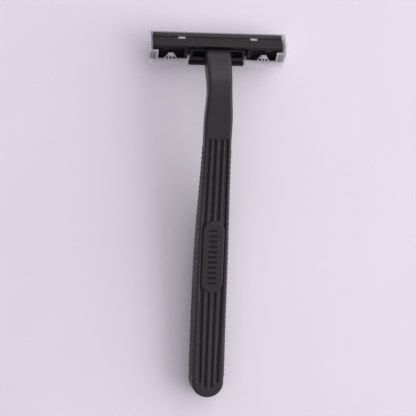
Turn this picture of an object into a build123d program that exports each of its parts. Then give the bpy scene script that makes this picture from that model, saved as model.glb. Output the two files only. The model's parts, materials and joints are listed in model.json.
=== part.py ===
from build123d import *

import os
from math import cos, radians, sin, tan

# Twin-blade cartridge razor with a clear slide-on cover, resting blade side down.
# X runs along the cartridge, Y from the tail of the handle to the head, and Z up from
# the surface it rests on. The origin is the centre of the underside's bounding box.

# ---------------------------------------------------------------- driving dimensions
overall_length = 117.0
head_tilt = 48.0            # between the cartridge's back and the surface below

# Cartridge, measured in its own section: u towards the cap side, w out of the back
cartridge_depth = 5.6       # back plane to shaving plane
platform_half_length = 20.35
platform_foot = -6.4        # guard-side edge of the back
guard_edge = -7.25
guard_inner = -6.1
end_taper = 0.08            # the ends draw in towards the guard, per unit of u
cap_half_length = 20.25
blade_half_length = 18.9
blade_thickness = 0.1
blade_angle = 22.0          # between a blade and the shaving plane
blade_rear = -0.6
lower_edge_u = -5.3
upper_edge_u = -3.9
edge_w = -5.5
stake_x = 16.0
stake_u = -2.3
stake_radius = 0.7

# Clear cover
cover_wall = 0.7
cover_half_length = 21.7
cover_foot = -8.15
cover_lip = -0.6            # cap-side edge of the front plate
cover_front = -6.5
cover_corner = 1.2
cover_opening = 8.95        # half of the gap that the connector passes through

# Handle, stations measured from the tail
tail_radius = 5.1
tail_top = 7.0
grip_end = 84.4
grip_end_half_width = 4.22
edge_radius = 0.6
long_edge = 20.0            # edges of the back longer than this are rounded
facing_up = 0.8             # the Z part of the normal of a face that belongs to the back
side_draft = 3.0            # the side walls spread downwards by this angle

# ---------------------------------------------------------------- derived placing
tilt_cos = cos(radians(head_tilt))
tilt_sin = sin(radians(head_tilt))
tail_y = -overall_length / 2
ridge_y = overall_length / 2 - cover_lip * tilt_cos + cover_front * tilt_sin
ridge_z = (
    -(cover_foot + cover_corner) * tilt_sin
    - (cover_front + cover_corner) * tilt_cos
    + cover_corner
)
ridge = (0, ridge_y, ridge_z)
cap_direction = (0, tilt_cos, tilt_sin)
back_direction = (0, -tilt_sin, tilt_cos)

section = Plane(origin=ridge, x_dir=cap_direction, z_dir=(1, 0, 0))
back = Plane(origin=ridge, x_dir=(1, 0, 0), z_dir=back_direction)


def at(station, height):
    """Side-view point of the handle at a station measured from the tail."""
    return (tail_y + station, height)


def head_at(u, w):
    """Side-view point of a place in the cartridge's own section."""
    return (ridge_y + u * tilt_cos - w * tilt_sin, ridge_z + u * tilt_sin + w * tilt_cos)


# ---------------------------------------------------------------- handle
connector_half_width = 8.6
connector_top = -1.25
connector_foot = -5.4
connector_w = (-0.3, 0.3)               # deep face, back face
window_size = (3.8, 2.9)                # along the head, across it
window_x = 5.85
window_u = -3.35
neck_root = -1.0                        # the neck runs this deep into the bay
bay_clearance = 0.05                    # and turns down this far above the cartridge's back
ledge_half_width = 8.75
ledge_u = (-8.75, -7.5)
ledge_w = (-0.7, 0.3)
ledge_corner = 0.5
web_half_width = 8.5
web_u = (-7.7, -5.2)
web_w = (-1.1, -0.15)
pan_u = (-5.3, -3.9)                    # thin pan behind the foot of the windows
pan_w = (-1.1, -0.7)

# Side view: the grip rises from the tail, arches over the neck and drops to the head
top_points = [
    at(0, tail_top), at(8, 7.9), at(20, 8.7), at(35, 10.0), at(47, 11.2), at(58, 12.5),
    at(71, 14.5), at(84.4, 16.9), at(92, 18.3), at(97.5, 19.1), at(101.8, 18.6),
    at(106.1, 16.0), at(109.2, 12.9), (ridge_y - 1.0, ridge_z + 0.35),
]
outline_height = 24.0
foot_flat = 12.0
under_points = [
    at(foot_flat, 0), at(22, 0.1), at(35, 0.8), at(47, 2.4), at(58, 4.6), at(71, 8.3),
    at(84.4, 12.3), at(92, 14.1), at(97.5, 14.7), at(101.3, 13.4), at(104.6, 10.5),
    head_at(-5.6, 0.6),
]
neck_points = [                         # half width of the neck's back, station
    (grip_end_half_width, grip_end), (4.2, 92), (3.8, 98), (3.75, 103), (3.85, 108), (3.75, 115),
]
far = 30.0                              # longer than any height or depth to cut through

groove_width = 0.8
groove_depth = 0.6
groove_start = 83.8
groove_inner_x = 1.0
groove_inner_end = 3.9
groove_outer = [(2.7, 83.8), (2.95, 71), (3.1, 33), (2.8, 5.4)]

plate_station = 46.6
plate_length = 23.6
plate_width = 7.0
plate_height = 0.3
plate_root = 0.7            # deeper than the grooves that it fills
plate_taper = 18.0
plate_reach = 4.0           # tall enough to clear the rising back
dash_count = 11
dash_pitch = 1.7
dash_size = (2.8, 0.6)
dash_height = 0.18

rib_count = 46
rib_pitch = 1.6
rib_first = 8.6
rib_radius = 1.0
rib_height = 0.25
rib_lean = 20.0             # the ribs lean towards the head as they go down
rib_margin = 0.95           # smooth band left above the ribs
rib_foot_margin = 0.7
rib_length = 14.0

core_wall = 1.6
core_stations = (15.5, 33.5, 51.5, 69.5)
core_length = 15.0
core_skin = 2.3
core_corner = 1.2


def lifted(points, lift):
    """The same side-view points, moved up by lift."""
    return [(y, z + lift) for y, z in points]


def half_width(station):
    """Half width of the straight-sided grip's back at a station from the tail."""
    taper = (tail_radius - grip_end_half_width) / (grip_end - tail_radius)
    return tail_radius - taper * (station - tail_radius)


def level(points, station):
    """Height of a side-view outline at a station, read between its nearest points."""
    y = tail_y + station
    for (y0, z0), (y1, z1) in zip(points, points[1:]):
        if y0 <= y <= y1:
            return z0 + (z1 - z0) * (y - y0) / (y1 - y0)
    return points[0][1]


def base_width(width, station):
    """Half width on the ground plane of a wall that has the given half width at the back."""
    return width + level(top_points, station) * tan(radians(side_draft))


def top_layer(low, high):
    """Layer that follows the handle's back, from low to high above it."""
    with BuildPart() as layer:
        with BuildSketch(Plane.YZ):
            with BuildLine():
                lower = Spline(*lifted(top_points, low))
                upper = Spline(*lifted(top_points, high))
                Line(lower @ 0, upper @ 0)
                Line(lower @ 1, upper @ 1)
            make_face()
        extrude(amount=platform_half_length, both=True)
    return layer.part


def side_slab(top_margin, foot_margin):
    """The handle's side profile as a wide slab, drawn in by the two margins."""
    with BuildPart() as slab:
        with BuildSketch(Plane.YZ):
            with BuildLine():
                over = Spline(*lifted(top_points, -top_margin))
                flat = Line(at(0, foot_margin), at(foot_flat, foot_margin))
                under = Spline(*lifted(under_points, foot_margin), tangents=[(1, 0), (1, -1)])
                Line(over @ 0, flat @ 0)
                Polyline(
                    over @ 1,
                    head_at(connector_top, bay_clearance),
                    head_at(connector_top, neck_root),
                    head_at(connector_foot, neck_root),
                    under @ 1,
                )
            make_face()
        extrude(amount=platform_half_length, both=True)
    return slab.part


def plan_outline(height):
    """Plan outline of grip and neck where its drafted walls cross a level."""
    inset = height * tan(radians(side_draft))
    ends = [(base_width(width, station) - inset, station) for width, station in neck_points]
    tail = base_width(tail_radius, tail_radius) - inset
    with BuildSketch(Plane.XY.offset(height)) as outline:
        with BuildLine():
            grip = Line((tail, tail_y + tail_radius), (ends[0][0], tail_y + ends[0][1]))
            neck = Spline(*[(x, tail_y + station) for x, station in ends])
            ThreePointArc(
                (tail, tail_y + tail_radius),
                (0, tail_y),
                (-tail, tail_y + tail_radius),
            )
            mirror(grip, about=Plane.YZ)
            mirror(neck, about=Plane.YZ)
            Line(neck @ 1, (-ends[-1][0], tail_y + ends[-1][1]))
        make_face()
    return outline.sketch


# Everything that follows the curved back is cut from a layer of it
groove_layer = top_layer(-groove_depth, far)
plate_layer = top_layer(-plate_root, plate_height)
dash_layer = top_layer(0, plate_height + dash_height)
profile_slab = side_slab(0, 0)
ground_outline = plan_outline(0)
raised_outline = plan_outline(outline_height)
rib_slab = side_slab(rib_margin, rib_foot_margin)

with BuildPart() as grooves:
    with BuildSketch():
        for side in (-1, 1):
            with BuildLine():
                Spline(*[(side * x, tail_y + station) for x, station in groove_outer])
            trace(line_width=groove_width)
            for x, station in (groove_outer[0], groove_outer[-1]):
                with Locations((side * x, tail_y + station)):
                    Circle(groove_width / 2)
            with Locations((side * groove_inner_x, tail_y + (groove_start + groove_inner_end) / 2)):
                SlotCenterToCenter(groove_start - groove_inner_end, groove_width, rotation=90)
    extrude(amount=far)
    add(groove_layer, mode=Mode.INTERSECT)

with BuildPart() as plate:
    with BuildSketch(Plane.XY.offset(level(top_points, plate_station - plate_length / 2) - plate_root)):
        with Locations((0, tail_y + plate_station)):
            SlotOverall(plate_length, plate_width, rotation=90)
    extrude(amount=plate_reach, taper=plate_taper)
    add(plate_layer, mode=Mode.INTERSECT)

with BuildPart() as dashes:
    with BuildSketch():
        with Locations((0, tail_y + plate_station)):
            with GridLocations(1, dash_pitch, 1, dash_count):
                SlotOverall(*dash_size)
    extrude(amount=far)
    add(dash_layer, mode=Mode.INTERSECT)

with BuildPart() as ribs:
    for index in range(rib_count):
        station = rib_first + index * rib_pitch
        middle = (level(top_points, station) + level(under_points, station)) / 2
        wall_x = base_width(half_width(station), station) - middle * tan(radians(side_draft))
        for side in (-1, 1):
            with Locations((side * (wall_x + rib_height - rib_radius), tail_y + station, middle)):
                Cylinder(rib_radius, rib_length, rotation=(-rib_lean, -side * side_draft, 0))
    add(rib_slab, mode=Mode.INTERSECT)

with BuildPart() as handle:
    # Body: the drafted plan outline of grip and neck, cut to the side profile
    add(ground_outline)
    add(raised_outline)
    loft(ruled=True)
    add(profile_slab, mode=Mode.INTERSECT)

    # Softened long edges of the back
    back_faces = handle.faces().filter_by(lambda face: face.normal_at().Z > facing_up)
    fillet(back_faces.edges().filter_by(lambda edge: edge.length > long_edge), edge_radius)

    # Four long grooves, the stadium plate with its dashes, and the side ribs
    add(grooves.part, mode=Mode.SUBTRACT)
    add(plate.part)
    add(dashes.part)
    add(ribs.part)

    # Moulded-out pockets in the underside
    for station in core_stations:
        floor = level(top_points, station) - core_skin
        pocket_width = 2 * (half_width(station + core_length / 2) - core_wall)
        with BuildSketch(Plane.XY.offset(floor)):
            with Locations((0, tail_y + station + core_length / 2)):
                RectangleRounded(pocket_width, core_length, core_corner)
        extrude(amount=-far, mode=Mode.SUBTRACT)

    # Connector frame on the back of the cartridge, with a window each side of the neck
    with BuildSketch(back.offset(connector_w[0])):
        with Locations((0, (connector_top + connector_foot) / 2)):
            Rectangle(2 * connector_half_width, connector_top - connector_foot)
        with Locations((-window_x, window_u), (window_x, window_u)):
            Rectangle(*window_size, mode=Mode.SUBTRACT)
    extrude(amount=connector_w[1] - connector_w[0])

    # Thumb ledge below the frame, tied to it by a web and a thin pan
    with BuildSketch(back.offset(ledge_w[0])):
        with Locations((0, sum(ledge_u) / 2)):
            RectangleRounded(2 * ledge_half_width, ledge_u[1] - ledge_u[0], ledge_corner)
    extrude(amount=ledge_w[1] - ledge_w[0])
    for reach_u, reach_w in ((web_u, web_w), (pan_u, pan_w)):
        with BuildSketch(back.offset(reach_w[0])):
            with Locations((0, sum(reach_u) / 2)):
                Rectangle(2 * web_half_width, reach_u[1] - reach_u[0])
        extrude(amount=reach_w[1] - reach_w[0])
handle.part.label = "handle"

# ---------------------------------------------------------------- blade stack
blade_slope = tan(radians(blade_angle))
blade_cos = cos(radians(blade_angle))
blade_sin = sin(radians(blade_angle))
stack_gap = 0.02            # clearance left between stacked pieces
blade_pitch = (upper_edge_u - lower_edge_u) * blade_sin
bevel_length = 0.45
spacer_setback = 1.0
nose_setback = 0.85
tab_x = 11.3
tab_length = 2.15
tab_u = (-0.55, -0.1)
tab_w = (-3.9, -3.05)
stake_clearance = 0.1
stake_places = [(-stake_x, stake_u), (0, stake_u), (stake_x, stake_u)]
rinse_places = [(x, stake_u) for x in (-11.5, -6.5, 6.5, 11.5)]
rinse_slot = (3.4, 0.9)


def blade_at(edge_u, along, across):
    """Section point measured from a cutting edge, along the blade and out of its back."""
    return (
        edge_u + along * blade_cos - across * blade_sin,
        edge_w + along * blade_sin + across * blade_cos,
    )


def blade_solid(edge_u):
    """Ground blade with its edge at edge_u, pierced for the stakes and for rinsing."""
    half = blade_thickness / 2
    rear = (blade_rear - edge_u) / blade_cos
    with BuildPart() as blade:
        with BuildSketch(section):
            with BuildLine():
                Polyline(
                    blade_at(edge_u, 0, 0),
                    blade_at(edge_u, bevel_length, half),
                    blade_at(edge_u, rear, half),
                    blade_at(edge_u, rear, -half),
                    blade_at(edge_u, bevel_length, -half),
                    close=True,
                )
            make_face()
        extrude(amount=blade_half_length, both=True)
        with BuildSketch(back):
            with Locations(*stake_places):
                Circle(stake_radius + stake_clearance)
            with Locations(*rinse_places):
                SlotOverall(*rinse_slot)
        extrude(amount=-2 * cartridge_depth, mode=Mode.SUBTRACT)
    return blade.part


lower_blade = blade_solid(lower_edge_u)
lower_blade.label = "lower_blade"

upper_blade = blade_solid(upper_edge_u)
upper_blade.label = "upper_blade"

spacer_back = -(blade_thickness / 2 + stack_gap)
spacer_front = -(blade_pitch - blade_thickness / 2 - stack_gap)
spacer_rear = (blade_rear - lower_edge_u) / blade_cos

with BuildPart() as spacer:
    with BuildSketch(section):
        with BuildLine():
            Polyline(
                blade_at(lower_edge_u, spacer_setback, spacer_back),
                blade_at(lower_edge_u, spacer_rear, spacer_back),
                blade_at(lower_edge_u, spacer_rear, spacer_front),
                blade_at(lower_edge_u, spacer_setback, spacer_front),
                close=True,
            )
        make_face()
    extrude(amount=blade_half_length, both=True)
    with BuildSketch(back):
        with Locations(*stake_places):
            Circle(stake_radius + stake_clearance)
        with Locations(*rinse_places):
            SlotOverall(*rinse_slot)
    extrude(amount=-2 * cartridge_depth, mode=Mode.SUBTRACT)
    # Two folded tabs close the stack behind the blades
    for side in (-1, 1):
        with BuildSketch(section.offset(side * tab_x)):
            with Locations((sum(tab_u) / 2, sum(tab_w) / 2)):
                Rectangle(tab_u[1] - tab_u[0], tab_w[1] - tab_w[0])
        extrude(amount=tab_length / 2, both=True)
spacer.part.label = "blade_spacer"

# ---------------------------------------------------------------- cartridge platform
seat_offset = blade_thickness / 2 / blade_cos + stack_gap
recess_floor = -1.35
recess_u = (-5.9, -1.15)
recess_end = 19.0
bay_floor = -2.3
bay_half_width = 9.45
bay_wall = 1.15             # wall left along the ridge above the connector
bay_reach = 12.0
ear_width = 1.05
ear_back = 0.1
ear_foot = -5.5
notch_count = 5
notch_pitch = 4.0
notch_size = (1.4, 0.65)
notch_depth = 1.1
seat_end = -5.0
channel_floor = -3.4
channel_slope = 0.15
guard_top = -5.1
guard_chamfer = 0.4
comb_count = 31
comb_pitch = 1.2
comb_slot = (0.45, 0.5)
rinse_count = 4
rinse_pitch = 4.6
rinse_opening = (3.2, 0.7)
parting_u = (-0.36, -0.12)  # wall that closes the stack, set in behind the rear face
parting_w = -3.85
window_w = -2.95            # foot of the two openings that show the spacer tabs
block_depth = 12.0
block_rise = 2.0


def drafted_block(half_length):
    """Block around the head whose ends draw in towards the guard."""
    foot_half = half_length - end_taper * block_depth
    rise_half = half_length + end_taper * block_rise
    with BuildPart() as block:
        with BuildSketch(back.offset(-block_depth)):
            with BuildLine():
                Polyline(
                    (-rise_half, block_rise),
                    (rise_half, block_rise),
                    (foot_half, -block_depth),
                    (-foot_half, -block_depth),
                    close=True,
                )
            make_face()
        extrude(amount=2 * block_depth)
    return block.part


def seat_w(u):
    """Height of the blade seat at a place across the cartridge."""
    return edge_w + (u - lower_edge_u) * blade_slope + seat_offset


with BuildPart() as platform:
    with BuildSketch(section):
        with BuildLine():
            Polyline(
                (0, 0),
                (0, seat_w(0)),
                (parting_u[1], seat_w(0)),
                (parting_u[1], parting_w),
                (parting_u[0], parting_w),
                (parting_u[0], seat_w(parting_u[0])),
                (seat_end, seat_w(seat_end)),
                (seat_end - channel_slope, channel_floor),
                (guard_inner, channel_floor),
                (guard_inner, guard_top),
                (guard_inner - guard_chamfer, -cartridge_depth),
                (guard_edge + guard_chamfer, -cartridge_depth),
                (guard_edge, guard_top),
                (platform_foot, 0),
                close=True,
            )
        make_face()
    extrude(amount=platform_half_length, both=True)
    add(drafted_block(platform_half_length), mode=Mode.INTERSECT)

    # Back recess, left as two end bays and a middle bay for the connector
    with BuildSketch(back.offset(recess_floor)):
        with Locations((0, sum(recess_u) / 2)):
            Rectangle(2 * recess_end, recess_u[1] - recess_u[0])
    extrude(amount=cartridge_depth, mode=Mode.SUBTRACT)
    with BuildSketch(back.offset(bay_floor)):
        with Locations((0, -bay_wall - bay_reach / 2)):
            Rectangle(2 * bay_half_width, bay_reach)
    extrude(amount=cartridge_depth, mode=Mode.SUBTRACT)

    # Ears that guide the connector
    with BuildSketch(back.offset(bay_floor)):
        for side in (-1, 1):
            with Locations((side * (bay_half_width + ear_width / 2), (ear_foot - bay_wall) / 2)):
                Rectangle(ear_width, -bay_wall - ear_foot)
    extrude(amount=ear_back - bay_floor)

    # Notches along the edge of the bay, over the connector
    with BuildSketch(back):
        with Locations((0, -bay_wall)):
            with GridLocations(notch_pitch, 1, notch_count, 1):
                Rectangle(notch_size[0], 2 * notch_size[1])
    extrude(amount=-notch_depth, mode=Mode.SUBTRACT)

    # Stake holes, and a comb along the guard
    with BuildSketch(back):
        with Locations(*stake_places):
            Circle(stake_radius + stake_clearance)
    extrude(amount=-2 * cartridge_depth, mode=Mode.SUBTRACT)
    with BuildSketch(back.offset(-cartridge_depth)):
        with Locations((0, (guard_inner + guard_edge) / 2)):
            with GridLocations(comb_pitch, 1, comb_count, 1):
                Rectangle(comb_slot[0], 2 * (guard_inner - guard_edge))
    extrude(amount=comb_slot[1], mode=Mode.SUBTRACT)

    # Rinse openings between the seat and the guard
    with BuildSketch(back):
        with Locations((0, (seat_end + guard_inner) / 2)):
            with GridLocations(rinse_pitch, 1, rinse_count, 1):
                SlotOverall(*rinse_opening)
    extrude(amount=-cartridge_depth, mode=Mode.SUBTRACT)

    # Two openings in the rear face that show the spacer's tabs
    for side in (-1, 1):
        with BuildSketch(section.offset(side * tab_x)):
            with Locations(((tab_u[0] - stack_gap) / 2, (window_w + parting_w) / 2)):
                Rectangle(stack_gap - tab_u[0], window_w - parting_w)
        extrude(amount=tab_length / 2 + stack_gap, both=True, mode=Mode.SUBTRACT)
platform.part.label = "cartridge_platform"

# ---------------------------------------------------------------- cap and its strip
strip_u = (-2.4, -0.6)
strip_floor = -5.2
strip_face = -5.7
strip_gap = 0.05
strip_round = 0.2
cap_rear = -5.4
cap_front = (-2.8, -0.25)   # flat of the cap's shaving face
strip_half_length = 17.6
end_block = (1.6, 0.25, 0.9)            # along the head, proud of the rear face, high
end_block_w = -4.7
end_block_root = 0.2
head_radius = 1.15
head_taper = 25.0
stake_root = -5.1
head_height = 0.4

with BuildPart() as cap:
    under_cap = -(blade_thickness / 2 + stack_gap)
    with BuildSketch(section):
        with BuildLine():
            Polyline(
                blade_at(upper_edge_u, nose_setback, under_cap),
                (0, edge_w - upper_edge_u * blade_slope + under_cap / blade_cos),
                (0, cap_rear),
                (cap_front[1], -cartridge_depth),
                (cap_front[0], -cartridge_depth),
                close=True,
            )
        make_face()
    extrude(amount=cap_half_length, both=True)

    # Raised block at each end of the rear face
    for side in (-1, 1):
        with BuildSketch(section.offset(side * (cap_half_length - end_block[0] / 2))):
            with Locations(((end_block[1] - end_block_root) / 2, end_block_w)):
                Rectangle(end_block[1] + end_block_root, end_block[2])
        extrude(amount=end_block[0] / 2, both=True)

    # Pocket for the lubricating strip
    with BuildSketch(back.offset(strip_floor)):
        with Locations((0, sum(strip_u) / 2)):
            Rectangle(2 * strip_half_length, strip_u[1] - strip_u[0])
    extrude(amount=-cartridge_depth, mode=Mode.SUBTRACT)

    # Stakes through the stack, each with its formed head in the back recess
    for x, u in stake_places:
        floor = bay_floor if x == 0 else recess_floor
        with BuildSketch(back.offset(stake_root)):
            with Locations((x, u)):
                Circle(stake_radius)
        extrude(amount=floor + head_height / 2 - stake_root)
        with BuildSketch(back.offset(floor)):
            with Locations((x, u)):
                Circle(head_radius)
        extrude(amount=head_height, taper=head_taper)
cap.part.label = "blade_cap"

with BuildPart() as strip:
    with BuildSketch(back.offset(strip_floor)):
        with Locations((0, sum(strip_u) / 2)):
            Rectangle(2 * (strip_half_length - strip_gap), strip_u[1] - strip_u[0] - 2 * strip_gap)
    extrude(amount=strip_face - strip_floor)
    fillet(strip.faces().sort_by(Axis(ridge, back_direction))[0].edges(), strip_round)
strip.part.label = "lubricating_strip"

# ---------------------------------------------------------------- clear cover
cover_back = 0.8
cover_gap = 0.1             # between the platform's back and the cover's hooks
cover_end = 0.1             # the end walls reach this far past the platform's rear face
end_corners = [(cover_end, -5.8), (cover_end, -1.5), (-0.95, 0)]
flange_edge = -5.7
post_inner = 18.6
post_edge = -1.8
post_rim = 0.45
post_pocket_depth = 0.45
post_rib_count = 4
post_rib_width = 0.22
opening_floor = -2.9
opening_depth = 5.0
hump_x = 14.6
hump_steps = [(3.7, -5.0), (2.9, -4.1), (1.8, -3.15)]
cell_count = 3
cell_pitch = 1.1
cell_size = (0.75, 1.4)
section_rise = Axis((0, 0, 0), (1, 1, 0))   # in a section sketch, its lowest corner comes first

with BuildPart() as hollow:
    with BuildSketch(section) as hollow_section:
        with Locations((cover_foot + cover_wall + far / 2, cover_front + cover_wall + far / 2)):
            Rectangle(far, far)
        fillet(hollow_section.vertices().sort_by(section_rise)[0], cover_corner - cover_wall)
    extrude(amount=cover_half_length, both=True)
    add(drafted_block(cover_half_length - cover_wall), mode=Mode.INTERSECT)

with BuildPart() as cover:
    # Tray: front plate, guard-side wall and sloping end walls, open on the cap side
    with BuildSketch(section) as tray:
        with BuildLine():
            Polyline(
                (cover_foot, cover_back),
                (cover_foot, cover_front),
                (cover_lip, cover_front),
                *end_corners,
                (post_edge, cover_back),
                close=True,
            )
        make_face()
        fillet(tray.vertices().sort_by(section_rise)[0], cover_corner)
    extrude(amount=cover_half_length, both=True)
    add(hollow.part, mode=Mode.SUBTRACT)

    # Gap in the guard-side wall for the connector
    with BuildSketch(back.offset(opening_floor)):
        with Locations((0, cover_foot)):
            Rectangle(2 * cover_opening, opening_depth)
    extrude(amount=far, mode=Mode.SUBTRACT)

    # Lip along the back, a post in each corner and a stepped tongue on each side
    with BuildSketch(back.offset(cover_gap)):
        for side in (-1, 1):
            lip_centre = side * (cover_opening + cover_half_length) / 2
            with Locations((lip_centre, (cover_foot + flange_edge) / 2)):
                Rectangle(cover_half_length - cover_opening, flange_edge - cover_foot)
            with Locations((side * (post_inner + cover_half_length) / 2, (cover_foot + post_edge) / 2)):
                Rectangle(cover_half_length - post_inner, post_edge - cover_foot)
            for width, top in hump_steps:
                with Locations((side * hump_x, (cover_foot + top) / 2)):
                    Rectangle(width, top - cover_foot)
    extrude(amount=cover_back - cover_gap)

    # Pocket in each post, with fine ribs, and three cells in each tongue
    pocket_x = (post_inner + cover_half_length) / 2
    pocket_width = cover_half_length - post_inner - 2 * post_rim
    pocket_u = (flange_edge, post_edge - post_rim)
    with BuildSketch(back.offset(cover_back)):
        for side in (-1, 1):
            with Locations((side * pocket_x, sum(pocket_u) / 2)):
                Rectangle(pocket_width, pocket_u[1] - pocket_u[0])
    extrude(amount=-post_pocket_depth, mode=Mode.SUBTRACT)
    with BuildSketch(back.offset(cover_back - post_pocket_depth)):
        for side in (-1, 1):
            with Locations((side * pocket_x, sum(pocket_u) / 2)):
                with GridLocations(pocket_width / post_rib_count, 1, post_rib_count, 1):
                    Rectangle(post_rib_width, pocket_u[1] - pocket_u[0])
    extrude(amount=post_pocket_depth / 2)
    with BuildSketch(back.offset(cover_back)):
        for side in (-1, 1):
            with Locations((side * hump_x, flange_edge + cell_size[1] / 2)):
                with GridLocations(cell_pitch, 1, cell_count, 1):
                    Rectangle(*cell_size)
    extrude(amount=-(cover_back - cover_gap), mode=Mode.SUBTRACT)
    add(drafted_block(cover_half_length), mode=Mode.INTERSECT)
cover.part.label = "protective_cover"

# ---------------------------------------------------------------- files
os.makedirs("parts", exist_ok=True)
export_step(handle.part, "parts/handle.step")
export_step(platform.part, "parts/cartridge_platform.step")
export_step(lower_blade, "parts/lower_blade.step")
export_step(spacer.part, "parts/blade_spacer.step")
export_step(upper_blade, "parts/upper_blade.step")
export_step(cap.part, "parts/blade_cap.step")
export_step(strip.part, "parts/lubricating_strip.step")
export_step(cover.part, "parts/protective_cover.step")
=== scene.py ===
import json
from math import cos, pi, radians, sin, tan

import bmesh
import bpy
import numpy as np
from mathutils import Matrix, Vector
from mathutils.bvhtree import BVHTree

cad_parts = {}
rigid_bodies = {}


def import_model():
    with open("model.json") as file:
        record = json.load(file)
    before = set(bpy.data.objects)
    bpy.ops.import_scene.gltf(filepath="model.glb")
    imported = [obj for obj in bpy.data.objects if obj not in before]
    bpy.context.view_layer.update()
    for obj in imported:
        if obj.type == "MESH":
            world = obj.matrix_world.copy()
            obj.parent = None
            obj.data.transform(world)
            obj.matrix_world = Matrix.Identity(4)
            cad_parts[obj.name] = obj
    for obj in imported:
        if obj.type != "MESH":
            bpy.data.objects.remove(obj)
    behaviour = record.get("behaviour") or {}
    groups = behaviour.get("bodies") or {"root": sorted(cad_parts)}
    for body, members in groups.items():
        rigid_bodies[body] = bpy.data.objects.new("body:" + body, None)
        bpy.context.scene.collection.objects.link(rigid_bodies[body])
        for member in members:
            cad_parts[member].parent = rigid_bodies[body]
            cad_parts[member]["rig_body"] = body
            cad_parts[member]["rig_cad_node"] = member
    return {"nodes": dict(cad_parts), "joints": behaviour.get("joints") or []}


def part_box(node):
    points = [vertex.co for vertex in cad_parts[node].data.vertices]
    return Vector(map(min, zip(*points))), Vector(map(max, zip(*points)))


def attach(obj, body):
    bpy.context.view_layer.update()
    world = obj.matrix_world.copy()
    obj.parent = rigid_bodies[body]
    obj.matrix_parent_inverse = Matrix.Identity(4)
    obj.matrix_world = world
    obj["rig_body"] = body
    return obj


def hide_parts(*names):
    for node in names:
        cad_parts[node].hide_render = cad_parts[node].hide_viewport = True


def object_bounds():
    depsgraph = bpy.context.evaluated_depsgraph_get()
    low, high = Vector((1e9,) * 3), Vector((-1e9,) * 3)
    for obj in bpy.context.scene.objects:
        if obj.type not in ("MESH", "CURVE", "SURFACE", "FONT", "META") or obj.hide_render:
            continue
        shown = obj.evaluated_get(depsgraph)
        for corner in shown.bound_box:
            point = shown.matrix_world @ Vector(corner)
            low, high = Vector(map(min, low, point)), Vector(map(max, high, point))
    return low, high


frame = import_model()
cad_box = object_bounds()
nodes = frame["nodes"]

# Twin-blade cartridge razor. Lengths in this script are millimetres until they enter a mesh.
MM = 0.001
weld_distance = 1e-6            # metres
hard_edge = radians(32)         # edges that turn more than this are rounded
flat_turn = radians(0.6)        # faces that turn less than this are merged

# ---------------------------------------------------------------- places read from the frame
release = next(joint for joint in frame["joints"] if joint["name"] == "cartridge_release")
back_direction = -Vector(release["axis"]).normalized()
cap_direction = Vector((0, back_direction.z, -back_direction.y))
tail_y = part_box("handle")[0].y / MM


def head_ridge():
    """The corner between the cartridge's back and its cap side, the origin of its section."""
    points = [vertex.co / MM for vertex in nodes["cartridge_platform"].data.vertices]
    tolerance = 0.01
    far = max(point.dot(cap_direction) for point in points)
    rear = [point for point in points if point.dot(cap_direction) > far - tolerance]
    high = max(point.dot(back_direction) for point in rear)
    return cap_direction * far + back_direction * high


ridge = head_ridge()


def head_place(x, u, w):
    """Place of a point of the cartridge's section: u towards the cap side, w out of the back."""
    return Vector((x, 0, 0)) + ridge + cap_direction * u + back_direction * w


def tree_of(node):
    """Search tree of a CAD node, in metres."""
    mesh = nodes[node].data
    points = [vertex.co for vertex in mesh.vertices]
    return BVHTree.FromPolygons(points, [tuple(face.vertices) for face in mesh.polygons])


handle_tree = tree_of("handle")


def probe(x, station, z, direction):
    """First place on the CAD handle met from a point in a direction, in millimetres."""
    start = Vector((x, tail_y + station, z)) * MM
    return handle_tree.ray_cast(start, Vector(direction))[0] / MM


def spline(xs, ys):
    """Natural cubic curve through the points, as a function that takes arrays."""
    xs, ys = np.array(xs, float), np.array(ys, float)
    gaps = np.diff(xs)
    count = len(xs)
    rows, right = np.eye(count), np.zeros(count)
    for i in range(1, count - 1):
        rows[i, i - 1:i + 2] = gaps[i - 1], 2 * (gaps[i - 1] + gaps[i]), gaps[i]
        right[i] = 6 * ((ys[i + 1] - ys[i]) / gaps[i] - (ys[i] - ys[i - 1]) / gaps[i - 1])
    bend = np.linalg.solve(rows, right)

    def value(x):
        x = np.clip(x, xs[0], xs[-1])
        i = np.clip(np.searchsorted(xs, x) - 1, 0, count - 2)
        after, before, gap = xs[i + 1] - x, x - xs[i], gaps[i]
        cubic = (bend[i] * after ** 3 + bend[i + 1] * before ** 3) / (6 * gap)
        from_left = (ys[i] / gap - bend[i] * gap / 6) * after
        from_right = (ys[i + 1] / gap - bend[i + 1] * gap / 6) * before
        return cubic + from_left + from_right

    return value


# Handle values, stations measured from the tail
tail_radius = 5.1
grip_end = 84.4
grip_end_half_width = 4.22
draft = tan(radians(3))         # the side walls spread downwards
foot_flat = 12.0
connector_u = (-5.4, -1.25)
neck_root = -1.0                # the neck runs this deep into the cartridge's bay
bay_clearance = 0.05            # and turns down this far above the cartridge's back
under_head = head_place(0, -5.6, 0.6)
under_deep = head_place(0, connector_u[0], neck_root)
under_ridge = head_place(0, connector_u[1], neck_root)
neck_top = head_place(0, connector_u[1], bay_clearance)
neck_end = neck_top.y - tail_y

# Where the probes start, and how far inside the rim they run
probe_above, probe_below, probe_beside = 40, -10, 20
back_inset, under_inset, band = 0.7, 0.8, 0.8


def grip_half_width(station):
    """Half width of the straight-sided grip's back."""
    taper = (tail_radius - grip_end_half_width) / (grip_end - tail_radius)
    return tail_radius - taper * (station - tail_radius)


def back_profile():
    """Height of the handle's back by station, read off the CAD handle beside its grooves."""
    stations = (0.3, 8, 20, 35, 47, 58, 71, 84.4, 92, 97.5, 101.8, 106.1, 109.2)
    heights = []
    for station in stations:
        beside = grip_half_width(max(station, tail_radius)) - back_inset
        x = beside if stations[0] < station < grip_end else 0
        heights.append(probe(x, station, probe_above, (0, 0, -1)).z)
    return spline(stations + (neck_end,), heights + [neck_top.z])


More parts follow.
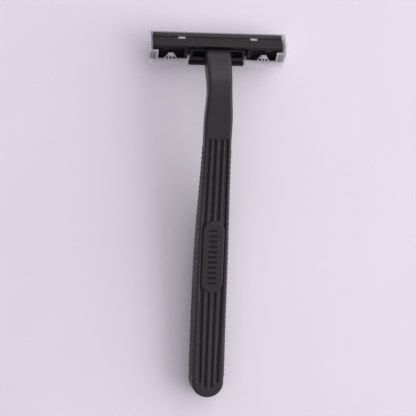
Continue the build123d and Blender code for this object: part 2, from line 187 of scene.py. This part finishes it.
def under_profile():
    """Height of the handle's underside by station, read off the CAD handle's rim."""
    stations = (15, 22, 35, 47, 58, 71, 84.4, 92, 97.5, 101.3, 104.6)
    heights = []
    for station in stations:
        x = grip_half_width(station) - under_inset if station < grip_end else 0
        heights.append(probe(x, station, probe_below, (0, 0, 1)).z)
    curve = spline(
        (0, foot_flat / 2, foot_flat) + stations + (under_head.y - tail_y,),
        [0, 0, 0] + heights + [under_head.z],
    )
    turn, deep = under_head.y - tail_y, under_deep.y - tail_y

    def value(station):
        along = np.interp(
            station,
            (turn, deep, under_ridge.y - tail_y),
            (under_head.z, under_deep.z, under_ridge.z),
        )
        return np.maximum(np.where(station < turn, curve(station), along), 0)

    return value


back_at = back_profile()
under_at = under_profile()


def width_profile():
    """Half width of the handle's back by station, read off the smooth band above the ribs."""
    stations = (tail_radius, 30, 57, grip_end, 92, 98, 103, 108)
    widths = [
        probe(probe_beside, station, float(back_at(station)) - band, (-1, 0, 0)).x - band * draft
        for station in stations
    ]
    return spline(stations + (neck_end,), widths + [widths[-1]])


half_width_at = width_profile()

# ---------------------------------------------------------------- mesh helpers


def new_object(name, points, faces):
    """Mesh object from points in millimetres and index faces."""
    mesh = bpy.data.meshes.new(name)
    mesh.from_pydata([tuple(point) for point in np.array(points) * MM], [], faces)
    mesh.validate()
    obj = bpy.data.objects.new(name, mesh)
    bpy.context.scene.collection.objects.link(obj)
    return obj


def ring_faces(rings, columns, closed):
    """Quads between neighbouring rings of a grid, ring by ring."""
    faces = []
    for ring in range(rings if closed else rings - 1):
        start, after = ring * columns, (ring + 1) % rings * columns
        faces += [
            (start + k, after + k, after + k + 1, start + k + 1) for k in range(columns - 1)
        ]
    return faces


def weld(obj):
    """Joins coincident points, closes open ends and turns every face outwards."""
    work = bmesh.new()
    work.from_mesh(obj.data)
    bmesh.ops.remove_doubles(work, verts=work.verts, dist=weld_distance)
    bmesh.ops.dissolve_degenerate(work, edges=work.edges, dist=weld_distance / 4)
    rim = [edge for edge in work.edges if edge.is_boundary]
    bmesh.ops.holes_fill(work, edges=rim)
    bmesh.ops.recalc_face_normals(work, faces=work.faces)
    work.to_mesh(obj.data)
    work.free()
    obj.data.shade_smooth()
    return obj


def finish_piece(obj, body, node, material):
    """Hands a piece to the frame in place of its CAD node."""
    obj.data.materials.clear()
    obj.data.materials.append(material)
    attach(obj, body)
    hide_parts(node)
    return obj


def soften(obj, width, segments=2):
    """Rounds the hard edges and keeps the flats flat."""
    bevel = obj.modifiers.new("rounding", "BEVEL")
    bevel.width = width * MM
    bevel.segments = segments
    bevel.limit_method = "ANGLE"
    bevel.angle_limit = hard_edge
    bevel.use_clamp_overlap = False
    bevel.miter_outer = "MITER_ARC"
    normals = obj.modifiers.new("flats", "WEIGHTED_NORMAL")
    normals.keep_sharp = True
    obj.data.shade_smooth()
    return obj


def step(value, low, high):
    """Smooth rise from 0 at low to 1 at high."""
    t = np.clip((value - low) / (high - low), 0, 1)
    return t * t * (3 - 2 * t)


# ---------------------------------------------------------------- handle
groove_flat, groove_reach = 0.06, 0.74      # level floor and full width, each side of the middle
groove_band = 0.72                          # finely divided strip each side of the middle
groove_depth = 0.6
groove_inner_x = 1.0
groove_start, inner_stop, outer_stop = 83.8, 3.9, 5.4
outer_x_at = spline((5.4, 33, 71, 83.8), (2.8, 3.1, 2.95, 2.7))

rib_first, rib_pitch, rib_count = 8.6, 1.6, 46
rib_radius, rib_height = 1.0, 0.25
rib_angle = radians(20)                     # the ribs lean towards the head as they go down
rib_fade_top, rib_fade_foot = (0.85, 1.25), (0.6, 1.0)

pocket_stations = (15.5, 33.5, 51.5, 69.5)
pocket_length, pocket_wall, pocket_skin = 15.0, 1.6, 2.3
pocket_corner, pocket_fall = 1.2, (-0.25, 0.05)

plate_station, plate_length, plate_width, plate_height = 46.6, 23.6, 7.0, 0.3
dash_count, dash_pitch, dash_length, dash_width, dash_height = 11, 1.7, 2.8, 0.6, 0.18

top_edge = spline((0, 80, 90, 113), (0.8, 0.75, 0.9, 0.9))
foot_edge = 0.4
side_share = 0.999                          # the straight sides face outwards at least this much

connector_edge, connector_w = 8.6, (-0.3, 0.3)
window_x, window_u = (3.95, 7.75), (-4.8, -1.9)
web_half, web_u, web_w = 8.5, (-7.7, -5.2), (-1.1, -0.15)
pan_u, pan_w = (-5.3, -3.9), (-1.1, -0.7)
ledge_half, ledge_u, ledge_w = 8.75, (-8.75, -7.5), (-0.7, 0.3)


def groove_cut(x, station):
    """Depth of the four long grooves under the back at a plan place."""
    past = np.maximum(np.maximum(inner_stop - station, station - groove_start), 0)
    inner = np.hypot(np.abs(x) - groove_inner_x, past)
    past = np.maximum(np.maximum(outer_stop - station, station - groove_start), 0)
    outer = np.hypot(np.abs(x) - outer_x_at(station), past)
    away = np.minimum(inner, outer)
    return groove_depth * (1 - step(away, groove_flat, groove_reach))


def rib_swell(station, z, top, foot):
    """How far the leaning ribs stand out of the side wall."""
    own = station - ((top + foot) / 2 - z) * tan(rib_angle)
    index = np.round((own - rib_first) / rib_pitch)
    away = (own - rib_first - index * rib_pitch) * cos(rib_angle)
    arc = np.sqrt(np.maximum(rib_radius ** 2 - away ** 2, 0)) - (rib_radius - rib_height)
    present = (index >= 0) & (index < rib_count)
    fade = step(top - z, *rib_fade_top) * step(z - foot, *rib_fade_foot)
    return np.maximum(arc, 0) * present * fade


def pocket_rise(x, station, top, foot):
    """How far the moulded-out pockets rise into the underside."""
    rise = np.zeros_like(station)
    for start in pocket_stations:
        middle = start + pocket_length / 2
        half = half_width_at(middle) - pocket_wall
        across = np.abs(x) - half
        along = np.abs(station - middle) - pocket_length / 2
        reach = np.hypot(np.maximum(across + pocket_corner, 0), np.maximum(along + pocket_corner, 0))
        away = reach + np.minimum(np.maximum(across, along) + pocket_corner, 0) - pocket_corner
        depth = back_at(start) - pocket_skin - foot
        rise += depth * (1 - step(away, *pocket_fall))
    return rise


def outline_rings():
    """Rings round the handle's plan: outward direction, station of the centre, half width."""
    sides = np.arange(neck_end, tail_radius, -0.2)
    turn = np.radians(np.linspace(-90, 90, 65))
    rings = [(-1, 0, station, half_width_at(station)) for station in sides]
    rings += [(sin(a), -cos(a), tail_radius, tail_radius) for a in turn]
    rings += [(1, 0, station, half_width_at(station)) for station in sides[::-1]]
    return np.array(rings, float)


def handle_points():
    """The handle's skin as a grid: one ring per outline place, columns from back to underside."""
    out_x, out_s, centre_s, width = outline_rings().T
    on_side = np.abs(out_x) > side_share
    edge = top_edge(centre_s)
    skin = []

    def add_column(distance, z):
        skin.append(np.stack([out_x * distance, centre_s + out_s * distance, z], 1))

    # Back, from the centre line to the start of the rounded edge, finely divided over the grooves
    narrowest_land = 0.1
    outer = np.minimum(outer_x_at(centre_s), width - edge - groove_band - narrowest_land)
    inner = (groove_inner_x - groove_band, groove_inner_x + groove_band)
    keys = [0 * width, inner[0] + 0 * width, inner[1] + 0 * width]
    keys += [np.maximum(outer - groove_band, inner[1]), outer + groove_band, width - edge]
    distances = []
    for low, high, count in zip(keys, keys[1:], (3, 12, 4, 12, 4)):
        distances += [low + (high - low) * share for share in np.linspace(0, 1, count, endpoint=False)]
    for distance in distances + [keys[-1]]:
        x, station = out_x * distance, centre_s + out_s * distance
        add_column(distance, back_at(station) - groove_cut(x, station))

    # Rounded long edge, then the wall with its ribs
    rim_s = centre_s + out_s * width
    top, foot = back_at(rim_s), under_at(rim_s)
    for angle in np.radians(np.linspace(0, 90, 7))[1:]:
        add_column(width - edge + edge * sin(angle), top - edge * (1 - cos(angle)))
    low = foot + foot_edge
    shares = np.concatenate([np.linspace(0, 0.06, 4)[1:], np.linspace(0.1, 0.9, 15), [0.94, 0.97, 1]])
    for share in shares:
        z = top - edge + (low - top + edge) * share
        ribs = rib_swell(rim_s, z, top, foot) * on_side
        add_column(width + (top - edge - z) * draft * np.abs(out_x) + ribs, z)

    # Rounded foot and the underside with its pockets
    spread = width + (top - edge - low) * draft * np.abs(out_x)
    for angle in np.radians((30, 60, 90)):
        add_column(spread - foot_edge * (1 - cos(angle)), low - foot_edge * sin(angle))
    for share in np.linspace(1, 0, 17)[1:]:
        distance = (spread - foot_edge) * share
        x, station = out_x * distance, centre_s + out_s * distance
        z = np.where(on_side, foot, under_at(station))
        add_column(distance, z + pocket_rise(x, station, top, z))
    return np.stack(skin, 1)


def handle_body():
    """Grip and arched neck in one closed skin."""
    grid = handle_points()
    rings, columns = grid.shape[:2]
    grid[:, :, 1] += tail_y
    return weld(new_object("handle_body", grid.reshape(-1, 3), ring_faces(rings, columns, False)))


def pad(name, start, end, radius, rings):
    """Round-ended raised pad that follows the handle's back, with (reach, height) rings."""
    start, end = np.array(start, float), np.array(end, float)
    along = (end - start) / np.linalg.norm(end - start)
    across = np.array([along[1], -along[0]])
    stops = np.linspace(0, 1, 49)
    turn = np.linspace(0, pi, 25)[1:-1]
    centres = [start + (end - start) * t for t in stops]
    outward = [across] * len(stops)
    centres += [end] * len(turn)
    outward += [across * cos(a) + along * sin(a) for a in turn]
    centres += [start + (end - start) * t for t in stops[::-1]]
    outward += [-across] * len(stops)
    centres += [start] * len(turn)
    outward += [-across * cos(a) - along * sin(a) for a in turn]
    points = []
    for centre, out in zip(centres, outward):
        for reach, height in rings:
            x, station = centre + out * radius * reach
            points.append((x, tail_y + station, float(back_at(station)) + height))
    obj = new_object(name, points, ring_faces(len(centres), len(rings), True))
    return weld(obj)


def joined(name, parts):
    """One object from several of the same kind."""
    with bpy.context.temp_override(
        active_object=parts[0],
        object=parts[0],
        selected_editable_objects=parts,
        selected_objects=parts,
    ):
        bpy.ops.object.join()
    parts[0].name = name
    return parts[0]


def plate():
    """Stadium plate let into the back of the grip."""
    half = plate_length / 2 - plate_width / 2
    rings = [(0, -0.7), (0.6, -0.7), (1, -0.7), (1, -0.1), (0.985, 0.02), (0.955, 0.15)]
    rings += [(0.93, 0.25), (0.905, 0.29), (0.88, plate_height), (0.5, plate_height), (0, plate_height)]
    return pad(
        "handle_plate",
        (0, plate_station - half),
        (0, plate_station + half),
        plate_width / 2,
        rings,
    )


def dashes():
    """Row of short raised dashes on the plate."""
    half = (dash_length - dash_width) / 2
    top = plate_height + dash_height
    rings = [(0, 0.1), (1, 0.1), (1, top - 0.12), (0.85, top - 0.03), (0.6, top), (0, top)]
    parts = []
    for index in range(dash_count):
        station = plate_station + (index - (dash_count - 1) / 2) * dash_pitch
        parts.append(pad("dash", (-half, station), (half, station), dash_width / 2, rings))
    return joined("handle_dashes", parts)


def cell_solid(name, xs, us, low, high, gaps=()):
    """Slab in the head's section, cut into cells by xs and us, with some cells left open."""
    kept = {(i, j) for i in range(len(xs) - 1) for j in range(len(us) - 1)} - set(gaps)
    points, faces, index = [], [], {}

    def corner(i, j, w):
        if (i, j, w) not in index:
            index[(i, j, w)] = len(points)
            points.append(head_place(xs[i], us[j], w))
        return index[(i, j, w)]

    for i, j in kept:
        square = ((i, j), (i + 1, j), (i + 1, j + 1), (i, j + 1))
        faces.append([corner(*place, high) for place in square])
        faces.append([corner(*place, low) for place in square[::-1]])
        beside = ((i, j - 1), (i + 1, j), (i, j + 1), (i - 1, j))
        for side in range(4):
            if beside[side] not in kept:
                a, b = square[side], square[(side + 1) % 4]
                faces.append([corner(*b, high), corner(*a, high), corner(*a, low), corner(*b, low)])
    obj = weld(new_object(name, points, faces))
    flatten(obj)
    return obj


def flatten(obj):
    """Merges flat neighbouring faces into one."""
    work = bmesh.new()
    work.from_mesh(obj.data)
    bmesh.ops.dissolve_limit(work, angle_limit=flat_turn, verts=work.verts, edges=work.edges)
    work.to_mesh(obj.data)
    work.free()


def connector():
    """Frame on the back of the cartridge, its web and the thumb ledge below."""
    xs = (-connector_edge, -window_x[1], -window_x[0], window_x[0], window_x[1], connector_edge)
    us = (connector_u[0], *window_u, connector_u[1])
    frame_part = cell_solid("handle_connector", xs, us, *connector_w, ((1, 1), (3, 1)))
    web = cell_solid("handle_web", (-web_half, web_half), web_u, *web_w)
    pan = cell_solid("handle_pan", (-web_half, web_half), pan_u, *pan_w)
    ledge = cell_solid("handle_ledge", (-ledge_half, ledge_half), ledge_u, *ledge_w)
    return [soften(frame_part, 0.12, 3), soften(web, 0.08), soften(pan, 0.08), soften(ledge, 0.25, 4)]


# ---------------------------------------------------------------- other pieces


def refined(node, name, width, segments=2):
    """Copy of a CAD node with welded points, merged flats and rounded edges."""
    obj = nodes[node].copy()
    obj.data = nodes[node].data.copy()
    obj.name = name
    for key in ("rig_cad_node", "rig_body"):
        if key in obj:
            del obj[key]
    obj.parent = None
    bpy.context.scene.collection.objects.link(obj)
    work = bmesh.new()
    work.from_mesh(obj.data)
    bmesh.ops.remove_doubles(work, verts=work.verts, dist=weld_distance)
    bmesh.ops.dissolve_limit(work, angle_limit=radians(1), verts=work.verts, edges=work.edges)
    bmesh.ops.recalc_face_normals(work, faces=work.faces)
    work.to_mesh(obj.data)
    work.free()
    return soften(obj, width, segments)


# ---------------------------------------------------------------- materials


class Shader:
    """Short way to write a node material."""

    def __init__(self, name):
        self.material = bpy.data.materials.new(name)
        self.material.use_nodes = True
        self.nodes = self.material.node_tree.nodes
        self.links = self.material.node_tree.links
        self.nodes.clear()
        self.output = self.nodes.new("ShaderNodeOutputMaterial")
        self.place = self.nodes.new("ShaderNodeTexCoord").outputs["Object"]

    def node(self, kind, values=None, **settings):
        """New node with its settings, and its inputs set or linked."""
        made = self.nodes.new(kind)
        for key, value in settings.items():
            setattr(made, key, value)
        for key, value in (values or {}).items():
            if isinstance(value, bpy.types.NodeSocket):
                self.links.new(value, made.inputs[key])
            else:
                made.inputs[key].default_value = value
        return made

    def noise(self, size, detail=3.0, stretch=None):
        """Noise whose features are about size millimetres across."""
        place = self.place
        if stretch:
            place = self.node("ShaderNodeMapping", {"Vector": place, "Scale": stretch}).outputs[0]
        values = {"Vector": place, "Scale": 1 / (size * MM), "Detail": detail}
        return self.node("ShaderNodeTexNoise", values).outputs["Fac"]

    def ramp(self, value, low, high, start=0.35, stop=0.65):
        """Turns a value into one that runs from low to high."""
        made = self.node(
            "ShaderNodeMapRange",
            {"Value": value, "From Min": start, "From Max": stop, "To Min": low, "To Max": high},
        )
        return made.outputs["Result"]

    def mix(self, share, first, second):
        """Colour between two colours."""
        return self.node("ShaderNodeMix", {0: share, 6: first, 7: second}, data_type="RGBA").outputs[2]

    def math(self, operation, first, second):
        """Result of an operation on two values."""
        return self.node("ShaderNodeMath", {0: first, 1: second}, operation=operation).outputs[0]

    def bump(self, height, depth, strength=1.0, normal=None):
        """Bump whose full height is depth millimetres."""
        values = {"Height": height, "Distance": depth * MM, "Strength": strength}
        if normal:
            values["Normal"] = normal
        return self.node("ShaderNodeBump", values).outputs["Normal"]

    def edges(self, low=0.51, high=0.6):
        """Share of 1 along convex edges, or in recesses when high is below low: worn edges on the black
        plastic, painted highlight and painted shade on the cover.
        """
        pointed = self.node("ShaderNodeNewGeometry").outputs["Pointiness"]
        return self.ramp(pointed, 0.0, 1.0, low, high)

    def surface(self, socket):
        """Finishes the material with its surface."""
        self.links.new(socket, self.output.inputs["Surface"])
        return self.material


def grey(value, tint=(1.0, 1.0, 1.0)):
    """Neutral colour with a slight tint."""
    return tuple(value * part for part in tint) + (1.0,)


def black_plastic(name, base, rough, gloss, tint):
    """Satin moulded plastic: faint flow marks, fine texture, handled edges, a little dust."""
    shade = Shader(name)
    flow = shade.noise(6.0, 2.0, (1.0, 0.25, 1.0))
    colour = shade.mix(shade.ramp(flow, 0.0, 1.0), grey(base * 0.85, tint), grey(base * 1.2, tint))
    wear = shade.math("MULTIPLY", shade.edges(), shade.ramp(shade.noise(1.2), 0.2, 1.0))
    colour = shade.mix(wear, colour, grey(base * 2.1, tint))
    specks = shade.ramp(shade.noise(0.35, 1.0), 0.0, 1.0, 0.72, 0.78)
    colour = shade.mix(specks, colour, grey(base * 4))
    smudge = shade.ramp(shade.noise(9.0, 4.0), rough - 0.05, rough + 0.07)
    roughness = shade.math("ADD", smudge, shade.math("MULTIPLY", wear, -0.06))
    grain = shade.bump(shade.noise(0.16, 2.0), 0.012, 0.55)
    normal = shade.bump(shade.noise(2.5, 2.0), 0.02, 0.35, grain)
    values = {"Base Color": colour, "Roughness": roughness, "Normal": normal, "IOR": gloss}
    return shade.surface(shade.node("ShaderNodeBsdfPrincipled", values).outputs[0])


def brushed_metal(name, base, rough, size):
    """Ground metal with fine lines along the cartridge."""
    shade = Shader(name)
    lines = shade.noise(size, 3.0, (0.02, 1.0, 1.0))
    colour = shade.mix(shade.ramp(lines, 0.0, 1.0), grey(base * 0.82), grey(base, (1.0, 1.0, 1.02)))
    roughness = shade.ramp(lines, rough, rough + 0.14)
    values = {
        "Base Color": colour,
        "Metallic": 1.0,
        "Roughness": roughness,
        "Normal": shade.bump(lines, 0.006, 0.6),
    }
    return shade.surface(shade.node("ShaderNodeBsdfPrincipled", values).outputs[0])


def waxy_strip():
    """Lubricating polymer: soft, slightly mottled and faintly translucent."""
    shade = Shader("strip_wax")
    mottle = shade.noise(0.8, 4.0)
    colour = shade.mix(shade.ramp(mottle, 0.0, 1.0), (0.30, 0.42, 0.40, 1), (0.42, 0.55, 0.52, 1))
    pores = shade.noise(0.12, 2.0)
    values = {
        "Base Color": colour,
        "Roughness": shade.ramp(mottle, 0.42, 0.58),
        "Subsurface Weight": 0.15,
        "Subsurface Scale": 0.0008,
        "Normal": shade.bump(pores, 0.02, 0.6),
    }
    return shade.surface(shade.node("ShaderNodeBsdfPrincipled", values).outputs[0])


def clear_plastic():
    """Clear moulded cover: milky along its plates, with painted highlight along its convex edges and
    painted shade in its recesses.
    """
    shade = Shader("cover_clear")
    wave = shade.noise(3.0, 2.0)
    haze = shade.ramp(shade.noise(2.5, 2.0), 0.10, 0.18)
    # Whiter convex edges, broken up by noise: painted highlight along the rims of the clear plastic
    edge_highlight = shade.math("MULTIPLY", shade.edges(0.505, 0.56), shade.ramp(shade.noise(2.0), 0.7, 1.0))
    normal = shade.bump(wave, 0.008, 0.3)
    # Darker, greyer tint in the recesses, for both the see-through and the milky parts: painted shade
    hollow_shade = shade.edges(0.497, 0.45)
    tint = shade.mix(hollow_shade, (0.90, 0.89, 0.92, 1), (0.56, 0.55, 0.60, 1))
    clear = shade.node("ShaderNodeBsdfTransparent", {"Color": tint}).outputs[0]
    plastic = shade.node("ShaderNodeBsdfPrincipled", {
        "Base Color": shade.mix(hollow_shade, (0.84, 0.83, 0.87, 1), (0.45, 0.44, 0.49, 1)),
        "Roughness": haze,
        "Normal": normal,
    }).outputs[0]
    facing = shade.node("ShaderNodeLayerWeight", {"Blend": 0.25}).outputs["Facing"]
    milky = shade.ramp(facing, 0.14, 0.66, 0.04, 0.92)
    share = shade.math("ADD", milky, shade.math("MULTIPLY", edge_highlight, 0.5))
    body = shade.node("ShaderNodeMixShader", {0: share, 1: clear, 2: plastic}).outputs[0]
    through = shade.node("ShaderNodeBsdfTransparent", {"Color": (0.86, 0.85, 0.87, 1)}).outputs[0]
    shadow = shade.node("ShaderNodeLightPath").outputs["Is Shadow Ray"]
    return shade.surface(shade.node("ShaderNodeMixShader", {0: shadow, 1: body, 2: through}).outputs[0])


def floor_paper():
    """Plain pale floor with a faint mottle, seen through from below."""
    shade = Shader("floor_paper")
    mottle = shade.noise(40.0, 3.0)
    colour = shade.mix(shade.ramp(mottle, 0.0, 1.0), (0.765, 0.73, 0.79, 1), (0.78, 0.745, 0.805, 1))
    values = {
        "Base Color": colour,
        "Roughness": 0.7,
        "Normal": shade.bump(shade.noise(0.8, 3.0), 0.03, 0.3),
    }
    paper = shade.node("ShaderNodeBsdfPrincipled", values).outputs[0]
    nothing = shade.node("ShaderNodeBsdfTransparent").outputs[0]
    behind = shade.node("ShaderNodeNewGeometry").outputs["Backfacing"]
    return shade.surface(shade.node("ShaderNodeMixShader", {0: behind, 1: paper, 2: nothing}).outputs[0])


# ---------------------------------------------------------------- the object
handle_black = black_plastic("handle_black", 0.018, 0.40, 1.42, (1.0, 0.90, 1.10))
# Dashes: a darker copy of the black plastic, painted shade standing in for the shadowed strokes of
# moulded lettering
dash_shade_black = black_plastic("dash_shade_black", 0.004, 0.34, 1.30, (1.0, 0.92, 1.08))
# Platform and connector: a much darker copy of the black plastic that the cap and handle use, painted
# shade for their recesses and windows
shaded_head_black = black_plastic("shaded_head_black", 0.004, 0.42, 1.38, (1.0, 0.90, 1.10))
cap_black = black_plastic("cap_black", 0.018, 0.36, 1.42, (1.0, 0.90, 1.10))
steel = brushed_metal("blade_steel", 0.62, 0.2, 0.05)
aluminium = brushed_metal("spacer_aluminium", 0.42, 0.36, 0.08)

for piece in [handle_body(), plate()]:
    finish_piece(piece, "handle", "handle", handle_black)
# The dashes take the darker copy: painted shade
finish_piece(dashes(), "handle", "handle", dash_shade_black)
# The connector, moulded in one with the handle, takes the darker copy: painted shade
for piece in connector():
    finish_piece(piece, "handle", "handle", shaded_head_black)

head_pieces = (
    ("cartridge_platform", "platform_refined", 0.09, "cartridge_plastic", shaded_head_black),
    ("blade_cap", "cap_refined", 0.1, "cartridge_plastic", cap_black),
    ("lower_blade", "lower_blade_refined", 0.01, "blade_steel", steel),
    ("upper_blade", "upper_blade_refined", 0.01, "blade_steel", steel),
    ("blade_spacer", "spacer_refined", 0.04, "spacer_metal", aluminium),
    ("lubricating_strip", "strip_refined", 0.08, "strip_polymer", waxy_strip()),
)
for node, name, width, slot, material in head_pieces:
    finish_piece(refined(node, name, width), "cartridge", node, material)

finish_piece(
    refined("protective_cover", "cover_refined", 0.1, 3),
    "cover",
    "protective_cover",
    clear_plastic(),
)

# ---------------------------------------------------------------- floor, light and camera


def add_floor():
    """Wide floor under the razor."""
    reach, clearance = 1500, 0.05
    obj = new_object(
        "floor",
        [(-reach, -reach, 0), (reach, -reach, 0), (reach, reach, 0), (-reach, reach, 0)],
        [(0, 1, 2, 3)],
    )
    obj.location.z = cad_box[0].z - clearance * MM
    obj.data.materials.append(floor_paper())


def add_light(name, place, width, depth, power, colour):
    """Soft rectangular light that faces the razor."""
    data = bpy.data.lights.new(name, "AREA")
    data.shape = "RECTANGLE"
    data.size, data.size_y = width, depth
    data.energy = power
    data.color = colour
    obj = bpy.data.objects.new(name, data)
    obj.location = place
    obj.rotation_mode = "QUATERNION"
    obj.rotation_quaternion = (-Vector(place)).to_track_quat("-Z", "Y")
    bpy.context.scene.collection.objects.link(obj)


def add_world(towards, dim, bright):
    """Light from all round, bright towards one side, and an even pale backdrop for the camera."""
    world = bpy.data.worlds.new("studio")
    world.use_nodes = True
    tree = world.node_tree
    place = tree.nodes.new("ShaderNodeTexCoord")
    lean = tree.nodes.new("ShaderNodeVectorMath")
    lean.operation = "DOT_PRODUCT"
    lean.inputs[1].default_value = Vector(towards).normalized()
    shown = tree.nodes.new("ShaderNodeMix")
    seen = tree.nodes.new("ShaderNodeLightPath")
    shown.inputs["B"].default_value = bright
    level = tree.nodes.new("ShaderNodeMapRange")
    level.interpolation_type = "SMOOTHSTEP"
    spread = {"From Min": -0.35, "From Max": 0.75, "To Min": dim, "To Max": bright}
    for key, value in spread.items():
        level.inputs[key].default_value = value
    background = tree.nodes["Background"]
    background.inputs["Color"].default_value = (0.97, 0.93, 1.0, 1)
    tree.links.new(place.outputs["Generated"], lean.inputs[0])
    tree.links.new(lean.outputs["Value"], level.inputs["Value"])
    tree.links.new(level.outputs["Result"], shown.inputs["A"])
    tree.links.new(seen.outputs["Is Camera Ray"], shown.inputs["Factor"])
    tree.links.new(shown.outputs["Result"], background.inputs["Strength"])
    bpy.context.scene.world = world


def add_camera():
    """Camera above the razor, leaning a little to its left and to its head."""
    side, tip, roll = radians(6.5), radians(7.43), radians(1.7)
    target, distance = Vector((0, 0.0005, 0.005)), 0.478
    sensor_width, focal_length = 36, 129.81
    out = Vector((-sin(side), sin(tip) * cos(side), cos(tip) * cos(side)))
    up = (Vector((0, 1, 0)) - out * out.y).normalized()
    right = up.cross(out)
    across = right * cos(roll) + up * sin(roll)
    upward = up * cos(roll) - right * sin(roll)
    data = bpy.data.cameras.new("camera")
    data.sensor_width = sensor_width
    data.lens = focal_length
    data.shift_x, data.shift_y = -0.0091, 0.0183
    data.clip_start, data.clip_end = 0.01, 10
    obj = bpy.data.objects.new("camera", data)
    turn = Matrix((across, upward, out)).transposed().to_4x4()
    obj.matrix_world = Matrix.Translation(target + out * distance) @ turn
    bpy.context.scene.collection.objects.link(obj)
    bpy.context.scene.camera = obj


add_floor()
add_world((0.4, 0.3, 0.85), 0.14, 0.76)
add_light("key", (0.6, 0.8, 0.45), 1.2, 0.7, 5.0, (1.0, 0.99, 0.99))
add_light("side", (0.95, -0.15, 0.5), 1.0, 0.8, 6.6, (1.0, 0.99, 1.0))
add_camera()
bpy.context.scene.view_settings.view_transform = "Standard"
